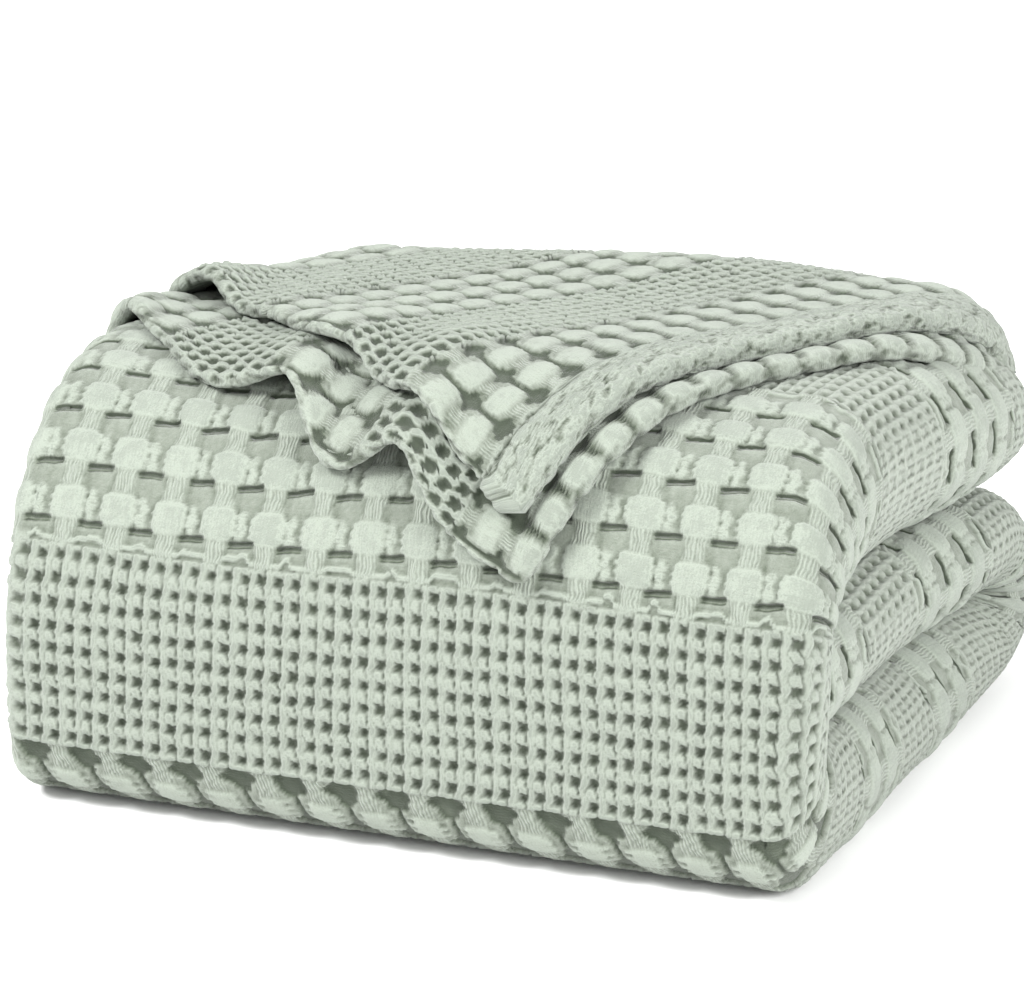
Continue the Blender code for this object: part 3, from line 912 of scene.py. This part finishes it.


# The weave's colour and thread height on the UV: threads are sines of it, slit shadows two painted dark
# lines above a patch, dashes the painted shade of the closed cells of a fine band, and waffle the plain
# inside, its pits painted darker. Each adds its strength to the height and to the level, which picks the
# tone; the level paints shade into the low places and light onto the raised yarn.
def threadGroup():
    tree = bpy.data.node_groups.new("cotton_weave", "ShaderNodeTree")
    for name, kind in (("Colour", "NodeSocketColor"), ("Height", "NodeSocketFloat")):
        tree.interface.new_socket(name, in_out="OUTPUT", socket_type=kind)
    out = tree.nodes.new("NodeGroupOutput")
    uv = tree.nodes.new("ShaderNodeUVMap")
    uv.uv_map = "weave"
    parts = tree.nodes.new("ShaderNodeSeparateXYZ")
    tree.links.new(uv.outputs[0], parts.inputs[0])
    u, v = parts.outputs[0], parts.outputs[1]

    # The first times the second, plus a third
    def times(first, second, plus=0.0):
        return maths(tree, "MULTIPLY_ADD", first, second, plus)

    def less(first, second):
        return maths(tree, "SUBTRACT", first, second)

    def wave(value):
        return maths(tree, "SINE", value)

    # A line across a value: 1 at its middle, falling evenly to 0 at half its width
    def lineAt(value, middle, half):
        off = maths(tree, "ABSOLUTE", less(value, middle))
        return maths(tree, "MAXIMUM", times(off, -1 / half, 1), 0)

    def fact(label):
        node = tree.nodes.new("ShaderNodeAttribute")
        node.attribute_name = label
        return node.outputs["Fac"]

    def noise(name):
        node = tree.nodes.new("ShaderNodeTexNoise")
        setInputs(node, dict(zip(("Scale", "Detail", "Roughness"), yarn[name])))
        tree.links.new(uv.outputs[0], node.inputs["Vector"])
        return node.outputs[0]

    reliefShading, blocks = fact("reliefShading"), fact("blocks")
    drift, fuzz, knobs = noise("drift"), noise("fuzz"), noise("knobs")
    lengthwise, crosswise, moreInBlocks = yarn["threads"]
    wander, slitWander = yarn["wander"]
    lengthwise = wave(times(u, 2 * pi * lengthwise, times(drift, wander)))
    crosswise = wave(times(times(v, times(blocks, moreInBlocks, crosswise)), 2 * pi))
    # waffle: the plain inside's pits painted darker as shade, and dented in the bump
    waffle = times(wave(times(u, 6 * pi)), wave(times(v, 2 * pi)))
    # the slits' two painted shadow lines, and the dashes' painted shade in closed pits
    place = times(drift, slitWander, less(fact("slitPlace"), slitWander / 2))
    first, second = (times(lineAt(place, *line), share) for *line, share in yarn["slitShadows"])
    slitShadows = maths(tree, "MAXIMUM", first, second)
    dashes, dashLong, dashWide, dashShare = yarn["dashes"]
    rib = maths(tree, "FRACT", times(u, dashes, times(drift, 0.6)))
    dash = lineAt(maths(tree, "FRACT", times(drift, 0.3, v)), 0.5, dashLong)
    dash = maths(tree, "MINIMUM", times(dash, 2.5), 1)
    dash = times(times(times(dash, lineAt(rib, 0.5, dashWide)), dashShare), less(1, blocks))
    marks = {
        "fuzz": fuzz,
        "threads": times(lengthwise, fact("lengthwise"), times(crosswise, fact("crosswise"))),
        "knob": times(less(knobs, 0.5), fact("knobby")),
        "knobby": fact("knobby"),
        "slitShadows": times(times(slitShadows, blocks, dash), fact("slitShadowShare")),
        "waffle": times(maths(tree, "ABSOLUTE", waffle), fact("inner")),
        "shadow": fact("shadow"),
    }
    height = 0.0
    for name, strength in yarn["heights"].items():
        height = times(marks[name], strength, height)
    # painted shade and light: the level falls with the relief and the hollows, and rises on the raised yarn
    level = times(reliefShading, *yarn["reliefShading"])
    level = times(less(fuzz, 0.5), times(reliefShading, *yarn["fuzzShade"]), level)
    level = times(less(drift, 0.5), yarn["driftShade"], level)
    for name, strength in yarn["levels"].items():
        level = times(marks[name], strength, level)
    ramp = tree.nodes.new("ShaderNodeValToRGB")
    stops = ramp.color_ramp.elements
    stops.remove(stops[1])
    for position, tone in cloth["tones"]:
        stop = stops[0] if position == 0 else stops.new(position)
        stop.color = tone
    tree.links.new(level, ramp.inputs[0])
    tree.links.new(height, out.inputs["Height"])
    tree.links.new(ramp.outputs[0], out.inputs["Colour"])
    return tree


# The cotton: a rough shader with a little sheen, the group's colour and its height as bump
def makeCotton():
    material = bpy.data.materials.new("blanket_cotton")
    material.use_nodes = True
    tree = material.node_tree
    shader = tree.nodes["Principled BSDF"]
    group = tree.nodes.new("ShaderNodeGroup")
    group.node_tree = threadGroup()
    bumps = tree.nodes.new("ShaderNodeBump")
    setInputs(shader, cloth["shader"])
    setInputs(bumps, cloth["bump"])
    tree.links.new(group.outputs["Colour"], shader.inputs["Base Color"])
    tree.links.new(group.outputs["Height"], bumps.inputs["Height"])
    tree.links.new(bumps.outputs[0], shader.inputs["Normal"])
    return material


cotton = makeCotton()
print("material", cotton.name)

pieces = bpy.data.collections.new("waffle_blanket")
bpy.context.scene.collection.children.link(pieces)
base = buildSheet()
print("sheet", len(base.data.polygons))

# The skins: across from and to, rows from and to, and the spacing of their points in mm
(leftSide, leftArc, _), (rightSide, rightArc, _) = skinArc["left"], skinArc["right"]
bodySkins = {
    "weave_front": (-leftSide, rightSide, 10.4, 17.9, 0.86),
    "weave_top_right": (0, rightSide, 17.9, lastRow, 0.9),
    "weave_top_left": (-leftSide, 0, 17.9, lastRow, 1.2),
    "weave_right": (rightSide - 1, rightSide + rightArc, 0, lastRow, 0.88),
    "weave_left": (-leftSide - leftArc, 1 - leftSide, 0, lastRow, 1.5),
    "weave_back": (-leftSide, rightSide, 2.5, 8.5, 1.5),
    "weave_bottom": (-leftSide, rightSide, 8.5, 10.4, 1.6),
}
# The flap's: side, share of the run where it starts, and spacing
flapSkins = {"flap_upper": (1, 0.03, 1.07), "flap_lower": (-1, 0.62, 1.05)}
skins = [bodySkin(name, *values) for name, values in bodySkins.items()]
skins += [flapSkin(name, *values) for name, values in flapSkins.items()]
for skin in skins:
    print(skin.name, len(skin.data.polygons) * 2)
print("triangles of the skins", sum(len(skin.data.polygons) * 2 for skin in skins))

for piece in [base] + skins:
    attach(piece, "root")
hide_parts("blanket")

# The camera's turn and height in degrees, distance and aim in metres, and lens in mm; the
# floor's half size and height in metres, tone and roughness; lamps: watts, place and size
stage = {
    "camera": (20.5, 20.5, 3.0, (-0.0091, 0.0011, 0.0912), 286.9),
    "floor": (6.0, -0.0001, 0.93, 0.8),
    "world": 0.85,
    "lampAim": (0, 0, 0.08),
    "lamps": {"key": (290, (-2.4, -2.0, 3.5), 1.5), "fill": (205, (3.4, -1.6, 2.2), 2.2)},
}


# An object in the scene at a place, turned by a tilt from straight down and about Z
def placed(name, data, place=(0, 0, 0), tilt=0, turn=0):
    made = bpy.data.objects.new(name, data)
    made.location = place
    made.rotation_euler = (tilt, 0, turn)
    bpy.context.scene.collection.objects.link(made)
    return made


# The camera stands off its aim by the distance, turned and raised by its two angles
def addCamera():
    turn, rise, distance, aim, lens = stage["camera"]
    turn, rise = radians(turn), radians(rise)
    level = cos(rise)
    back = np.array([sin(turn) * level, -cos(turn) * level, sin(rise)])
    data = bpy.data.cameras.new("view")
    data.lens = lens
    data.sensor_width = 36
    place = np.array(aim) + back * distance
    bpy.context.scene.camera = placed("view", data, place, pi / 2 - rise, turn)


# A square floor, an even white world, and square lamps turned by the angles of their aim
def addStage():
    half, height, tone, roughness = stage["floor"]
    mesh = bpy.data.meshes.new("floor")
    corners = [(-half, -half, 0), (half, -half, 0), (half, half, 0), (-half, half, 0)]
    mesh.from_pydata(corners, [], [(0, 1, 2, 3)])
    material = bpy.data.materials.new("studio_floor")
    material.use_nodes = True
    shader = material.node_tree.nodes["Principled BSDF"]
    setInputs(shader, {"Base Color": (tone, tone, tone, 1), "Roughness": roughness})
    mesh.materials.append(material)
    placed("floor", mesh, (0, 0, height))
    world = bpy.data.worlds.new("studio")
    world.use_nodes = True
    setInputs(world.node_tree.nodes["Background"], {"Color": (1, 1, 1, 1), "Strength": stage["world"]})
    bpy.context.scene.world = world
    for name, (power, place, size) in stage["lamps"].items():
        data = bpy.data.lights.new(name, "AREA")
        data.energy = power
        data.size = size
        x, y, z = np.array(stage["lampAim"]) - np.array(place)
        tilt, turn = atan2(hypot(x, y), -z), atan2(y, x) - pi / 2
        placed(name, data, place, tilt, turn)


addCamera()
addStage()
print("camera, floor and lamps")
bpy.context.scene.view_settings.view_transform = "Standard"
